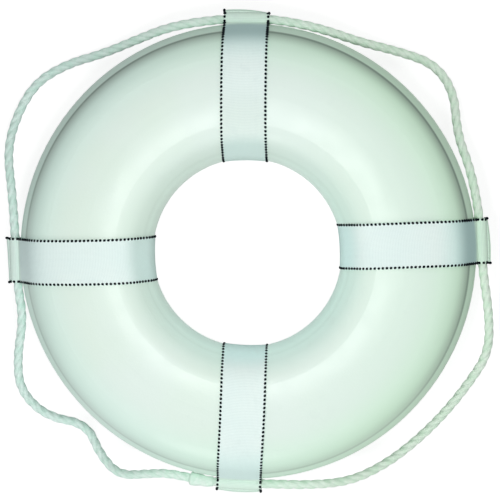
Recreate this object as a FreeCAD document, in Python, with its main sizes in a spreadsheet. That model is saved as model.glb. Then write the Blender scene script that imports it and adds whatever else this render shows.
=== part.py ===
import FreeCAD, Part
import math
import os
import Sketcher
from FreeCAD import Placement, Rotation, Vector

# Ring buoy: a moulded foam ring with four webbing beckets and one grab line round it.
# It lies flat. The origin is on the surface under the middle of the hole, +Z is the
# ring's axis, and +X points towards the right-hand becket. Lengths are millimetres.

doc = FreeCAD.newDocument("ring_buoy")

# Driving dimensions
SIZES = [
    # moulded ring
    ("outer_radius", 254.0, "half of the 20 inch outside diameter"),
    ("hole_radius", 105.0, "half of the hole"),
    ("ring_height", 89.0, "3.5 inch moulding height"),
    ("crown_land", 12.0, "flat strip along the top and the bottom of the ring"),
    ("crown_radius", 150.0, "gentle curve either side of the flat strip"),
    ("shoulder_radius", 38.0, "tighter curve down to the sides"),
    ("shoulder_lean", 0.5, "how far the shoulder's circle runs past the crease below it"),
    ("hole_bead_depth", 9.0, "how far the hole's side bead stands out"),
    ("hole_bead_half", 19.0, "half of that bead's height"),
    ("rim_bead_depth", 7.0, "how far the outer side bead stands out"),
    ("rim_bead_half", 16.0, "half of that bead's height"),
    # webbing beckets
    ("web_width", 50.0, "2 inch webbing, drawn in a little"),
    ("web_thick", 1.8, "webbing"),
    ("web_ease", 0.15, "webbing to ring"),
    ("valley_radius", 1.2, "dip of the webbing between ring and rope"),
    ("nip_slope", 70.0, "degrees, where the webbing closes behind the rope"),
    ("tab_length", 3.4, "sewn tab beyond where the webbing closes"),
    ("tab_stagger", 1.5, "the tab's upper layer is this much shorter"),
    ("turn_margin", 13.5, "webbing turned beside each side before it is cut parallel"),
    ("groove_margin", 2.0, "degrees that a groove turns past the webbing"),
    ("trim_room", 120.0, "width cut away beside each becket"),
    # rope
    ("rope_diameter", 10.0, "laid rope, sold as 3/8 inch"),
    ("rope_gap", 0.3, "rope to ring inside a becket"),
    ("rope_ease", 0.65, "rope to webbing"),
    ("rope_rest", 0.3, "height of the lowest bights above the surface"),
    ("run_beyond", 3.0, "straight rope beyond each side of a becket"),
    ("splice_bulge", 1.3, "how far the joined rope ends stand out from the rope"),
    ("splice_shoulder", 1.4, "rounding at the ends of the splice"),
    # where each becket sits, in degrees round the axis, and how far it is out of radial
    ("right_bearing", 3.2, "degrees"),
    ("right_skew", -0.9, "degrees"),
    ("top_bearing", 90.1, "degrees"),
    ("top_skew", -0.65, "degrees"),
    ("left_bearing", 181.9, "degrees"),
    ("left_skew", -0.85, "degrees"),
    ("bottom_bearing", 268.0, "degrees"),
    ("bottom_skew", -0.65, "degrees"),
]

sheet = doc.addObject("Spreadsheet::Sheet", "Sizes")
for row, (alias, number, note) in enumerate(SIZES, start=1):
    sheet.set("A%d" % row, alias)
    sheet.set("B%d" % row, str(number))
    sheet.set("C%d" % row, note)
    sheet.setAlias("B%d" % row, alias)
doc.recompute()

# Formulas shared by the pieces. Heights count from the ring's middle plane.
MID_HEIGHT = "(Sizes.web_thick + Sizes.web_ease + Sizes.ring_height / 2)"
HOLE_CREASE = "(Sizes.hole_radius + Sizes.hole_bead_depth)"
RIM_CREASE = "(Sizes.outer_radius - Sizes.rim_bead_depth)"
LAND_CENTRE = "((" + HOLE_CREASE + " + " + RIM_CREASE + ") / 2)"
HOLE_BEAD_RADIUS = "((Sizes.hole_bead_depth^2 + Sizes.hole_bead_half^2) / (2 * Sizes.hole_bead_depth))"
RIM_BEAD_RADIUS = "((Sizes.rim_bead_depth^2 + Sizes.rim_bead_half^2) / (2 * Sizes.rim_bead_depth))"
HOLE_BEAD_CENTRE = "(Sizes.hole_radius + " + HOLE_BEAD_RADIUS + ")"
RIM_BEAD_CENTRE = "(Sizes.outer_radius - " + RIM_BEAD_RADIUS + ")"
ROPE_LINE = "(Sizes.outer_radius + Sizes.rope_gap + Sizes.rope_diameter / 2)"
SHOULDER_REACH = "((" + RIM_CREASE + " - " + HOLE_CREASE + " - Sizes.crown_land) / 2"
SHOULDER_REACH += " - Sizes.shoulder_radius + Sizes.shoulder_lean)"
INSIDE = "Sizes.web_ease"
OUTSIDE = "(Sizes.web_ease + Sizes.web_thick)"
WAY_RADIUS = "(Sizes.rope_diameter / 2 + Sizes.rope_ease)"
NIP_END = "(" + ROPE_LINE + " + (" + WAY_RADIUS + " + Sizes.web_thick * (1 - cos(Sizes.nip_slope * 1 deg)))"
NIP_END += " / sin(Sizes.nip_slope * 1 deg))"
TAB_END = "(" + NIP_END + " + Sizes.tab_length)"
HALF_WEB = "Sizes.web_width / 2"
WEB_TURN = "(2 * asin((" + HALF_WEB + " + Sizes.turn_margin) / (Sizes.hole_radius - " + OUTSIDE + ")))"
GROOVE_TURN = "(" + WEB_TURN + " + Sizes.groove_margin * 1 deg)"
SPLICE_DIAMETER = "(Sizes.rope_diameter + 2 * Sizes.splice_bulge)"


def size(formula):
    """The number that a formula in the sheet's sizes comes to."""
    return float(sheet.evalExpression(formula))


def polar(centre, radius, angle):
    """The point at an angle in degrees round a centre in a sketch."""
    turn = math.radians(angle)
    return Vector(centre.x + radius * math.cos(turn), centre.y + radius * math.sin(turn), 0)


def bearing_of(vector):
    return math.degrees(math.atan2(vector.y, vector.x))


def shared_normal(first, first_radius, second, second_radius):
    """Angle of the outward normal of the straight line that lies on top of two circles."""
    between = second - first
    lean = math.acos((first_radius - second_radius) / between.Length)
    return bearing_of(between) + math.degrees(lean)


ORIGIN = (-1, 1)


class Outline:
    """A closed outline in a sketch: lines and arcs, each joined to the one before."""

    def __init__(self, sketch):
        self.sketch = sketch
        self.ends = {}
        self.order = []

    def line(self, name, start, end, smooth=False):
        index = self.sketch.addGeometry(Part.LineSegment(start, end), False)
        self._join(name, index, 1, 2, smooth)

    def arc(self, name, centre, radius, start, end, smooth=True, hollow=False):
        """An arc from one angle to another; it turns clockwise unless it is hollow."""
        low, high = (start, end) if hollow else (end, start)
        circle = Part.Circle(centre, Vector(0, 0, 1), radius)
        piece = Part.ArcOfCircle(circle, math.radians(low), math.radians(high))
        index = self.sketch.addGeometry(piece, False)
        first, last = (1, 2) if hollow else (2, 1)
        self._join(name, index, first, last, smooth)

    def circle(self, name, place, radius):
        """A whole circle on the level axis, its place and radius bound to formulas."""
        centre = Vector(size(place), 0, 0)
        index = self.sketch.addGeometry(Part.Circle(centre, Vector(0, 0, 1), size(radius)), False)
        self.ends[name] = (index, 1, 2)
        self.on_axis(name, "centre")
        self.across(name + "_place", ORIGIN, self.at(name, "centre"), place)
        self.radius(name, radius)

    def _join(self, name, index, first, last, smooth):
        if self.order:
            before = self.ends[self.order[-1]]
            kind = "Tangent" if smooth else "Coincident"
            joint = Sketcher.Constraint(kind, before[0], before[2], index, first)
            self.sketch.addConstraint(joint)
        self.ends[name] = (index, first, last)
        self.order.append(name)

    def close(self):
        last = self.at(self.order[-1], "end")
        first = self.at(self.order[0], "start")
        self.sketch.addConstraint(Sketcher.Constraint("Coincident", *last, *first))

    def at(self, name, where):
        """A constraint's reference to a piece's start, end or centre."""
        index, first, last = self.ends[name]
        return index, {"start": first, "end": last, "centre": 3}[where]

    def radius(self, name, formula):
        rule = Sketcher.Constraint("Radius", self.ends[name][0], size(formula))
        self.drive(rule, name + "_radius", formula)

    def across(self, name, start, end, formula):
        """The level distance from one point to another, bound to a formula."""
        rule = Sketcher.Constraint("DistanceX", *start, *end, size(formula))
        self.drive(rule, name, formula)

    def up(self, name, start, end, formula):
        """The upright distance from one point to another, bound to a formula."""
        rule = Sketcher.Constraint("DistanceY", *start, *end, size(formula))
        self.drive(rule, name, formula)

    def on_axis(self, name, where):
        self.sketch.addConstraint(Sketcher.Constraint("PointOnObject", *self.at(name, where), -1))

    def level(self, name):
        self.sketch.addConstraint(Sketcher.Constraint("Horizontal", self.ends[name][0]))

    def upright(self, name):
        self.sketch.addConstraint(Sketcher.Constraint("Vertical", self.ends[name][0]))

    def drive(self, rule, name, formula):
        """Add a dimension and bind it to a formula."""
        index = self.sketch.addConstraint(rule)
        self.sketch.renameConstraint(index, name)
        self.sketch.setExpression("Constraints." + name, formula)


def plane(body, role):
    """One of a body's own origin planes."""
    return next(item for item in body.Origin.OriginFeatures if item.Role == role)


def new_body(name):
    body = doc.addObject("PartDesign::Body", name)
    body.Label = name
    return body


def new_sketch(body, name, role):
    sketch = body.newObject("Sketcher::SketchObject", name)
    sketch.AttachmentSupport = [(plane(body, role), "")]
    sketch.MapMode = "FlatFace"
    return sketch


def turn_sketch(body, kind, name, sketch, angle):
    """Revolve or groove a sketch about the body's upright axis."""
    feature = body.newObject("PartDesign::" + kind, name)
    feature.Profile = sketch
    feature.ReferenceAxis = (sketch, ["V_Axis"])
    feature.Angle = angle
    feature.Midplane = angle < 360
    sketch.Visibility = False
    return feature


def mirror_down(body, name, originals):
    """Copy features to the other side of the ring's middle plane."""
    mirrored = body.newObject("PartDesign::Mirrored", name)
    mirrored.Originals = originals
    mirrored.MirrorPlane = (plane(body, "XY_Plane"), [""])
    body.Tip = mirrored
    return mirrored


def changed_volume(body, before, least, what):
    """Stop if a feature left the solid as it was."""
    doc.recompute()
    after = body.Shape.Volume
    if abs(after - before) < least:
        raise RuntimeError(what + " changed nothing")
    return after


# Section of the ring and of what wraps it, above the middle plane
def section_places(grow):
    """Centres and radii of the arcs that lie a little outside the ring's skin."""
    land_middle = size(LAND_CENTRE)
    half_land = size("Sizes.crown_land / 2")
    crown_up = size("Sizes.ring_height / 2 - Sizes.crown_radius")
    bend = size("Sizes.crown_radius - Sizes.shoulder_radius")
    reach = size(SHOULDER_REACH)
    shoulder_up = crown_up + math.sqrt(bend ** 2 - reach ** 2)
    crown = size("Sizes.crown_radius") + grow
    shoulder = size("Sizes.shoulder_radius") + grow
    hole_end = land_middle - half_land
    rim_end = land_middle + half_land
    return {
        "hole_bead": (Vector(size(HOLE_BEAD_CENTRE), 0, 0), size(HOLE_BEAD_RADIUS) + grow),
        "rim_bead": (Vector(size(RIM_BEAD_CENTRE), 0, 0), size(RIM_BEAD_RADIUS) + grow),
        "hole_crown": (Vector(hole_end, crown_up, 0), crown),
        "rim_crown": (Vector(rim_end, crown_up, 0), crown),
        "hole_shoulder": (Vector(hole_end - reach, shoulder_up, 0), shoulder),
        "rim_shoulder": (Vector(rim_end + reach, shoulder_up, 0), shoulder),
        "crown_turn": math.degrees(math.asin(reach / bend)),
    }


def draw_crown(outline, places, hole_side, rim_side):
    """Shoulder, crown, flat strip, crown and shoulder, from the hole to the rim."""
    turn = places["crown_turn"]
    hole_crown, crown_radius = places["hole_crown"]
    rim_crown = places["rim_crown"][0]
    land_start = polar(hole_crown, crown_radius, 90)
    land_end = polar(rim_crown, crown_radius, 90)
    outline.arc("hole_shoulder", *places["hole_shoulder"], hole_side, 90 + turn)
    outline.arc("hole_crown", hole_crown, crown_radius, 90 + turn, 90)
    outline.line("land", land_start, land_end, True)
    outline.arc("rim_crown", rim_crown, crown_radius, 90, 90 - turn)
    outline.arc("rim_shoulder", *places["rim_shoulder"], 90 - turn, rim_side)


def size_crown(outline, grow):
    """Bind the flat strip, the crown arcs and the shoulders to the sheet."""
    land_start = outline.at("land", "start")
    land_end = outline.at("land", "end")
    outline.level("land")
    outline.up("land_height", ORIGIN, land_start, "Sizes.ring_height / 2 + " + grow)
    outline.across("land_length", land_start, land_end, "Sizes.crown_land")
    outline.across("land_place", ORIGIN, land_end, LAND_CENTRE + " + Sizes.crown_land / 2")
    for side in ("hole", "rim"):
        outline.radius(side + "_crown", "Sizes.crown_radius + " + grow)
        outline.radius(side + "_shoulder", "Sizes.shoulder_radius + " + grow)
    hole_centres = outline.at("hole_shoulder", "centre"), outline.at("hole_crown", "centre")
    rim_centres = outline.at("rim_crown", "centre"), outline.at("rim_shoulder", "centre")
    outline.across("hole_reach", *hole_centres, SHOULDER_REACH)
    outline.across("rim_reach", *rim_centres, SHOULDER_REACH)


def draw_ring_section(sketch):
    """Upper half of the ring's section, with a crease above each side bead."""
    places = section_places(0)
    hole_bead, hole_bead_radius = places["hole_bead"]
    rim_bead, rim_bead_radius = places["rim_bead"]
    hole_crease = Vector(size(HOLE_CREASE), size("Sizes.hole_bead_half"), 0)
    rim_crease = Vector(size(RIM_CREASE), size("Sizes.rim_bead_half"), 0)

    def flank_normal(crease, shoulder, side):
        centre, radius = shoulder
        slant = crease - centre
        return bearing_of(slant) + side * math.degrees(math.acos(radius / slant.Length))

    hole_flank = flank_normal(hole_crease, places["hole_shoulder"], -1)
    rim_flank = flank_normal(rim_crease, places["rim_shoulder"], 1)
    outline = Outline(sketch)
    hole_turn = bearing_of(hole_crease - hole_bead)
    rim_turn = bearing_of(rim_crease - rim_bead)
    middle_start = polar(rim_bead, rim_bead_radius, 0)
    middle_end = polar(hole_bead, hole_bead_radius, 180)
    outline.arc("hole_bead", hole_bead, hole_bead_radius, 180, hole_turn, False)
    outline.line("hole_flank", hole_crease, polar(*places["hole_shoulder"], hole_flank))
    draw_crown(outline, places, hole_flank, rim_flank)
    outline.line("rim_flank", polar(*places["rim_shoulder"], rim_flank), rim_crease, True)
    outline.arc("rim_bead", rim_bead, rim_bead_radius, rim_turn, 0, False)
    outline.line("middle", middle_start, middle_end)
    outline.close()

    outline.on_axis("middle", "start")
    outline.on_axis("middle", "end")
    outline.on_axis("hole_bead", "centre")
    outline.on_axis("rim_bead", "centre")
    outline.across("hole_side", ORIGIN, outline.at("hole_bead", "start"), "Sizes.hole_radius")
    outline.across("rim_side", ORIGIN, outline.at("rim_bead", "end"), "Sizes.outer_radius")
    outline.across("hole_crease", ORIGIN, outline.at("hole_flank", "start"), HOLE_CREASE)
    outline.up("hole_crease_height", ORIGIN, outline.at("hole_flank", "start"), "Sizes.hole_bead_half")
    outline.across("rim_crease", ORIGIN, outline.at("rim_flank", "end"), RIM_CREASE)
    outline.up("rim_crease_height", ORIGIN, outline.at("rim_flank", "end"), "Sizes.rim_bead_half")
    size_crown(outline, "0")


def draw_wrap_section(sketch, grow, with_tab):
    """Upper half of webbing pulled round the ring and the rope.

    It bridges the creases, follows the outer bead down, dips, goes over the rope and
    closes behind it. The outer face ends in the sewn tab, the inner face in a point.
    """
    places = section_places(size(grow))
    hole_bead, hole_bead_radius = places["hole_bead"]
    rim_bead, rim_bead_radius = places["rim_bead"]
    hole_bridge = shared_normal(hole_bead, hole_bead_radius, *places["hole_shoulder"])
    rim_bridge = shared_normal(*places["rim_shoulder"], rim_bead, rim_bead_radius)
    rope_line = Vector(size(ROPE_LINE), 0, 0)
    rope_wrap = WAY_RADIUS + " + " + grow + " - Sizes.web_ease"
    rope_radius = size(rope_wrap)
    valley_formula = "Sizes.valley_radius + Sizes.web_thick + Sizes.web_ease - " + grow
    valley_radius = size(valley_formula)

    # the valley arc rests against both the bead and the rope
    from_bead = rim_bead_radius + valley_radius
    from_rope = rope_radius + valley_radius
    span = rope_line.x - rim_bead.x
    along = (from_bead ** 2 - from_rope ** 2 + span ** 2) / (2 * span)
    valley = Vector(rim_bead.x + along, math.sqrt(from_bead ** 2 - along ** 2), 0)
    on_bead = bearing_of(valley - rim_bead)
    on_rope = bearing_of(valley - rope_line)

    nip = size("90 - Sizes.nip_slope")
    nip_point = Vector(rope_line.x + rope_radius / math.cos(math.radians(nip)), 0, 0)
    nip_end = Vector(size(NIP_END), size("Sizes.web_thick"), 0) if with_tab else nip_point

    outline = Outline(sketch)
    outline.arc("hole_bead", hole_bead, hole_bead_radius, 180, hole_bridge)
    outline.line("hole_bridge", polar(hole_bead, hole_bead_radius, hole_bridge),
                 polar(*places["hole_shoulder"], hole_bridge), True)
    draw_crown(outline, places, hole_bridge, rim_bridge)
    outline.line("rim_bridge", polar(*places["rim_shoulder"], rim_bridge),
                 polar(rim_bead, rim_bead_radius, rim_bridge), True)
    outline.arc("rim_bead", rim_bead, rim_bead_radius, rim_bridge, on_bead)
    outline.arc("valley", valley, valley_radius, on_bead + 180, on_rope + 180, hollow=True)
    outline.arc("rope", rope_line, rope_radius, on_rope, nip)
    outline.line("nip", polar(rope_line, rope_radius, nip), nip_end, True)
    last = nip_end
    if with_tab:
        corner = Vector(size(TAB_END), nip_end.y, 0)
        last = Vector(corner.x, 0, 0)
        outline.line("tab_top", nip_end, corner)
        outline.line("tab_end", corner, last)
    outline.line("middle", last, polar(hole_bead, hole_bead_radius, 180))
    outline.close()

    outline.on_axis("middle", "start")
    outline.on_axis("middle", "end")
    for bead, centre, bead_radius in (("hole_bead", HOLE_BEAD_CENTRE, HOLE_BEAD_RADIUS),
                                      ("rim_bead", RIM_BEAD_CENTRE, RIM_BEAD_RADIUS)):
        outline.on_axis(bead, "centre")
        outline.across(bead + "_place", ORIGIN, outline.at(bead, "centre"), centre)
        outline.radius(bead, bead_radius + " + " + grow)
    size_crown(outline, grow)
    outline.radius("valley", valley_formula)
    outline.on_axis("rope", "centre")
    outline.across("rope_place", ORIGIN, outline.at("rope", "centre"), ROPE_LINE)
    outline.radius("rope", rope_wrap)
    slope_now = math.radians(-size("Sizes.nip_slope"))
    slope = Sketcher.Constraint("Angle", outline.ends["nip"][0], slope_now)
    outline.drive(slope, "nip_angle", "-Sizes.nip_slope * 1 deg")
    if with_tab:
        outline.level("tab_top")
        outline.up("tab_height", ORIGIN, outline.at("tab_top", "end"), "Sizes.web_thick")
        outline.upright("tab_end")
        outline.across("tab_place", ORIGIN, outline.at("tab_end", "end"), TAB_END)


def draw_rectangle(sketch, name, left, right, low, high):
    """A rectangle with level sides. Each side is a formula; left and low may be below zero."""
    places = ((left, low), (right, low), (right, high), (left, high))
    corners = [Vector(size(across), size(up), 0) for across, up in places]
    outline = Outline(sketch)
    for number in range(4):
        outline.line("side%d" % number, corners[number], corners[(number + 1) % 4])
    outline.close()
    outline.level("side0")
    outline.level("side2")
    outline.upright("side1")
    outline.upright("side3")
    outline.across(name + "_left", ORIGIN, outline.at("side0", "start"), left)
    outline.across(name + "_width", outline.at("side0", "start"), outline.at("side0", "end"),
                   right + " - (" + left + ")")
    outline.up(name + "_low", ORIGIN, outline.at("side0", "start"), low)
    outline.up(name + "_height", outline.at("side0", "start"), outline.at("side3", "start"),
               high + " - (" + low + ")")


# Ring body
def make_ring_body():
    body = new_body("ring_body")
    sketch = new_sketch(body, "ring_section", "XZ_Plane")
    draw_ring_section(sketch)
    half = turn_sketch(body, "Revolution", "ring_half", sketch, 360)
    doc.recompute()
    before = body.Shape.Volume
    mirror_down(body, "ring_lower_half", [half])
    changed_volume(body, before, before / 2, "the ring's lower half")
    body.setExpression("Placement.Base.z", MID_HEIGHT)
    return body


# Webbing beckets
def make_strap(side):
    """One loop of webbing round the ring and the rope, its ends sewn in a tab outside."""
    body = new_body("strap_" + side)
    sweep = size(WEB_TURN)

    outer = new_sketch(body, side + "_outer_face", "XZ_Plane")
    draw_wrap_section(outer, OUTSIDE, True)
    filled = turn_sketch(body, "Revolution", side + "_filled", outer, sweep)
    filled.setExpression("Angle", WEB_TURN)
    doc.recompute()
    volume = body.Shape.Volume

    inner = new_sketch(body, side + "_inner_face", "XZ_Plane")
    draw_wrap_section(inner, INSIDE, False)
    hollow = turn_sketch(body, "Groove", side + "_hollow", inner, sweep)
    hollow.setExpression("Angle", GROOVE_TURN)
    volume = changed_volume(body, volume, volume / 2, side + " becket's inner face")

    mirror_down(body, side + "_lower_half", [filled, hollow])
    volume = changed_volume(body, volume, volume / 2, side + " becket's lower half")

    # the upper layer of the tab ends a little before the lower one
    layer = new_sketch(body, side + "_tab_step", "XZ_Plane")
    draw_rectangle(layer, "step", TAB_END + " - Sizes.tab_stagger",
                   TAB_END + " + Sizes.web_thick", "0", "Sizes.web_thick * 2")
    step = turn_sketch(body, "Groove", side + "_tab_layers", layer, sweep)
    step.setExpression("Angle", GROOVE_TURN)
    volume = changed_volume(body, volume, 1.0, side + " becket's tab step")

    # the rope's straight run through the fold
    run = new_sketch(body, side + "_rope_run", "XZ_Plane")
    Outline(run).circle("run", ROPE_LINE, WAY_RADIUS)
    through = body.newObject("PartDesign::Pocket", side + "_rope_way")
    through.Profile = run
    through.Type = "ThroughAll"
    through.SideType = "Symmetric"
    volume = changed_volume(body, volume, 1.0, side + " becket's rope way")

    # parallel sides, square to the webbing's own line
    trim = new_sketch(body, side + "_edges", "XY_Plane")
    trim.AttachmentOffset = Placement(Vector(size(ROPE_LINE), 0, 0),
                                      Rotation(Vector(0, 0, 1), size("Sizes." + side + "_skew")))
    trim.setExpression("AttachmentOffset.Base.x", ROPE_LINE)
    trim.setExpression("AttachmentOffset.Rotation.Angle", "Sizes." + side + "_skew * 1 deg")
    beyond = "(" + HALF_WEB + " + Sizes.trim_room)"
    draw_rectangle(trim, "upper", "-" + ROPE_LINE, "Sizes.trim_room", HALF_WEB, beyond)
    draw_rectangle(trim, "lower", "-" + ROPE_LINE, "Sizes.trim_room", "-" + beyond, "-" + HALF_WEB)
    sides = body.newObject("PartDesign::Pocket", side + "_parallel_sides")
    sides.Profile = trim
    sides.Type = "ThroughAll"
    sides.SideType = "Symmetric"
    changed_volume(body, volume, volume / 10, side + " becket's sides")

    body.Placement = Placement(Vector(0, 0, size(MID_HEIGHT)),
                               Rotation(Vector(0, 0, 1), size("Sizes." + side + "_bearing")))
    body.setExpression("Placement.Base.z", MID_HEIGHT)
    body.setExpression("Placement.Rotation.Angle", "Sizes." + side + "_bearing * 1 deg")
    return body


# Grab line. Inside each becket it runs level at the ring's middle. Between beckets it
# comes down to the surface and stands out from the ring in a bight. Each point of a
# bight has a bearing in degrees, a distance beyond the line that the rope keeps inside
# the beckets, and a share of the height between the surface and the ring's middle.
BIGHTS = (
    ("bottom", (
        (-74.0, 12.9, 0.89),
        (-65.6, 25.6, 0.51),
        (-57.0, 29.6, 0.14),
        (-48.9, 29.7, 0.00),
        (-39.9, 30.3, 0.00),
        (-31.0, 31.8, 0.10),
        (-22.6, 33.9, 0.46),
        (-13.9, 17.9, 0.89),
    )),
    ("right", (
        (20.6, 4.9, 0.89),
        (29.5, 8.6, 0.51),
        (38.0, 32.8, 0.12),
        (45.5, 36.9, 0.00),
        (53.5, 20.3, 0.12),
        (62.1, 6.0, 0.48),
        (72.4, 2.4, 0.89),
    )),
    ("top", (
        (108.6, 6.3, 0.89),
        (118.1, 9.0, 0.51),
        (126.5, 17.4, 0.17),
        (134.0, 35.1, 0.00),
        (141.5, 48.5, 0.00),
        (149.0, 46.1, 0.12),
        (157.0, 36.4, 0.48),
        (165.6, 13.7, 0.87),
    )),
    ("left", (
        (196.5, 4.3, 0.89),
        (204.6, 28.6, 0.63),
        (211.5, 47.5, 0.31),
        (219.5, 42.6, 0.07),
        (227.1, 14.5, 0.00),
        (234.0, 31.9, 0.07),
        (240.0, 37.3, 0.36),
        (245.3, 18.2, 0.75),
        (250.5, 4.2, 1.00),
        (255.5, 2.8, 1.00),
    )),
)

# share of the shorter run that each turn's arc takes up
ARC_SHARE = 0.45

# millimetres within which two points are the same
SAME_PLACE = 0.01


def rope_point(bearing, beyond, share):
    """A point of a bight."""
    rest = size("Sizes.rope_diameter / 2 + Sizes.rope_rest")
    point = polar(Vector(0, 0, 0), size(ROPE_LINE) + beyond, bearing)
    point.z = rest + share * (size(MID_HEIGHT) - rest)
    return point


def becket_run(side):
    """The two ends of the rope's straight run through a becket."""
    bearing = size("Sizes." + side + "_bearing")
    middle = rope_point(bearing, 0, 1)
    half_run = polar(Vector(0, 0, 0), size(HALF_WEB + " + Sizes.run_beyond"), bearing + 90)
    return [middle - half_run, middle + half_run]


def line_points():
    points = []
    for side, bight in BIGHTS:
        points += becket_run(side)
        points += [rope_point(*place) for place in bight]
    return points


def smooth_path(places):
    """Straight runs joined by arcs that take up most of the shorter run at each turn."""
    edges = []
    radii = []
    start = places[0]
    for before, corner, after in zip(places, places[1:], places[2:]):
        back = before - corner
        forward = after - corner
        trim = ARC_SHARE * min(back.Length, forward.Length)
        turn = math.pi - back.getAngle(forward)
        radius = trim / math.tan(turn / 2)
        arc_start = corner + back.normalize() * trim
        arc_end = corner + forward.normalize() * trim
        inward = (back + forward).normalize()
        arc_middle = corner + inward * (radius / math.cos(turn / 2) - radius)
        edges.append(Part.LineSegment(start, arc_start).toShape())
        edges.append(Part.Arc(arc_start, arc_middle, arc_end).toShape())
        radii.append(radius)
        start = arc_end
    edges.append(Part.LineSegment(start, places[-1]).toShape())
    return Part.Wire(edges), radii


def make_line(name, points, diameter):
    """A round line swept along its route, its section bound to a size in the sheet."""
    path, radii = smooth_path(points)
    spine = doc.addObject("Part::Feature", name + "_route")
    spine.Shape = path
    section = doc.addObject("Part::Circle", name + "_section")
    section.setExpression("Radius", diameter + " / 2")
    section.Placement = Placement(points[0], Rotation(Vector(0, 0, 1), points[1] - points[0]))
    line = doc.addObject("Part::Sweep", name + "_sweep")
    line.Sections = [section]
    line.Spine = (spine, ["Edge%d" % number for number in range(1, len(path.Edges) + 1)])
    line.Solid = True
    line.Frenet = False
    doc.recompute()
    whole = math.pi * size(diameter + " / 2") ** 2 * path.Length
    if abs(line.Shape.Volume - whole) > whole / 100:
        raise RuntimeError(name + " is not swept along its whole route")
    print("%s: length %.1f mm, tightest curve %.0f mm" % (name, path.Length, min(radii)))
    print("%s points: %s" % (name, " ".join("(%.1f, %.1f, %.2f)" % tuple(point) for point in points)))
    return line


def make_grab_line(points):
    line = make_line("grab_line", points, "Sizes.rope_diameter")
    line.Label = "grab_line"
    return line


def make_splice(points):
    """The thicker place where the rope's two ends are joined, rounded at both ends.

    It carries on from the line's last point to its first, in line with it at both.
    """
    last, first = points[-1], points[0]
    onward = last - points[-2]
    inward = points[1] - first
    gap = first - last
    share = (gap.x * inward.y - gap.y * inward.x) / (onward.x * inward.y - onward.y * inward.x)
    middle = last + onward * share
    thick = make_line("splice", [last, middle, first], SPLICE_DIAMETER)
    ends = []
    for number, edge in enumerate(thick.Shape.Edges, start=1):
        if isinstance(edge.Curve, Part.Circle) and edge.isClosed():
            if min((edge.Curve.Center - end).Length for end in (last, first)) < SAME_PLACE:
                ends.append(number)
    if len(ends) != 2:
        raise RuntimeError("the splice's two end circles were not found")
    splice = doc.addObject("Part::Fillet", "splice_rounded")
    splice.Base = thick
    rounding = size("Sizes.splice_shoulder")
    splice.Edges = [(number, rounding, rounding) for number in ends]
    splice.Label = "rope_splice"
    return splice


STRAP_SIDES = ("right", "top", "left", "bottom")

pieces = [make_ring_body()]
for strap_side in STRAP_SIDES:
    pieces.append(make_strap(strap_side))
rope_points = line_points()
pieces.append(make_grab_line(rope_points))
pieces.append(make_splice(rope_points))
doc.recompute()

for item in doc.Objects:
    if "Invalid" in item.State or "Error" in item.State:
        raise RuntimeError(item.Label + " did not build: " + ", ".join(item.State))
for piece in pieces:
    if piece.Shape.isNull() or not piece.Shape.isValid() or len(piece.Shape.Solids) != 1:
        raise RuntimeError(piece.Label + " is not one sound solid")

os.makedirs("parts", exist_ok=True)
for piece in pieces:
    piece.Shape.exportStep(os.path.join("parts", piece.Label + ".step"))
    print("%s: %.0f mm3" % (piece.Label, piece.Shape.Volume))
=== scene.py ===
import math

import bpy
from mathutils import Matrix, Vector, noise


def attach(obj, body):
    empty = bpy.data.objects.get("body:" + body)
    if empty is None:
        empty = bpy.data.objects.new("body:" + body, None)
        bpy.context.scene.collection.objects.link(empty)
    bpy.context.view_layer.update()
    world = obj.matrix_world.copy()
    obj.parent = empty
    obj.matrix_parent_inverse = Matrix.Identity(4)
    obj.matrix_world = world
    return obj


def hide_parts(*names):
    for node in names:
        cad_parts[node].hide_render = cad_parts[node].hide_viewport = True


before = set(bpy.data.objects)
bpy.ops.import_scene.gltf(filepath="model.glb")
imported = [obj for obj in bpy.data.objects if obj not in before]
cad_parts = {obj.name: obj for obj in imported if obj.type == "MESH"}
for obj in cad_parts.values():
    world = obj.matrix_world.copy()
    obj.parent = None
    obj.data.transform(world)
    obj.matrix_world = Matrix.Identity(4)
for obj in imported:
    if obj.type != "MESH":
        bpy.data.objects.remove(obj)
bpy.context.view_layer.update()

# Ring buoy: a moulded vinyl ring, four sewn webbing beckets and a laid grab line.
# Shapes are worked out in millimetres in the row frame and stored in metres.

MM = 0.001
ROOT = "root"
PRESSED = 0.02

# ring and webbing sizes, as in the solids
MID_HEIGHT = 46.45
RING_HALF = 44.5
HOLE_RADIUS = 105.0
RIM_RADIUS = 254.0
HOLE_CREASE = (114.0, 19.0)
HOLE_BEAD = 24.556
RIM_BEAD = 21.786
CROWN_RADIUS = 150.0
SHOULDER_RADIUS = 38.0
SHOULDER_REACH = 23.0
LAND_MIDDLE = 180.5
LAND_HALF = 6.0
WEB_HALF = 25.0
WEB_THICK = 1.8
WEB_EASE = 0.15
ROPE_RADIUS = 5.0
ROPE_LINE = 259.3
ROPE_EASE = 0.65
NIP_NORMAL = 20.0
NIP_ROUND = 1.3
TAB_END = 269.97
TAB_STAGGER = 1.5

# Each becket: bearing and skew in degrees as in the solids, then how the sewn webbing lies.
# drift bows it sideways between hole and rope. The tab's end is short of its full length,
# slants across its width and is rounded off towards its corners. yarn is how far the tracer's
# dashes run together where the webbing is steep.
BECKETS = {
    "right": {"bearing": 3.2, "skew": -0.9, "drift": 1.2, "short": 0.2, "slant": -0.043, "rounding": 1.6,
              "yarn": 0.9},
    "top": {"bearing": 90.1, "skew": -0.65, "drift": 0.5, "short": 0.6, "slant": 0.065, "rounding": 2.2,
            "yarn": 1.0},
    "left": {"bearing": 181.9, "skew": -0.85, "drift": 0.9, "short": 1.3, "slant": -0.033, "rounding": -0.2,
             "yarn": 0.6},
    "bottom": {"bearing": 268.0, "skew": -0.65, "drift": 2.0, "short": 0.1, "slant": 0.0, "rounding": 2.2,
               "yarn": 0.1},
}

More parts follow.
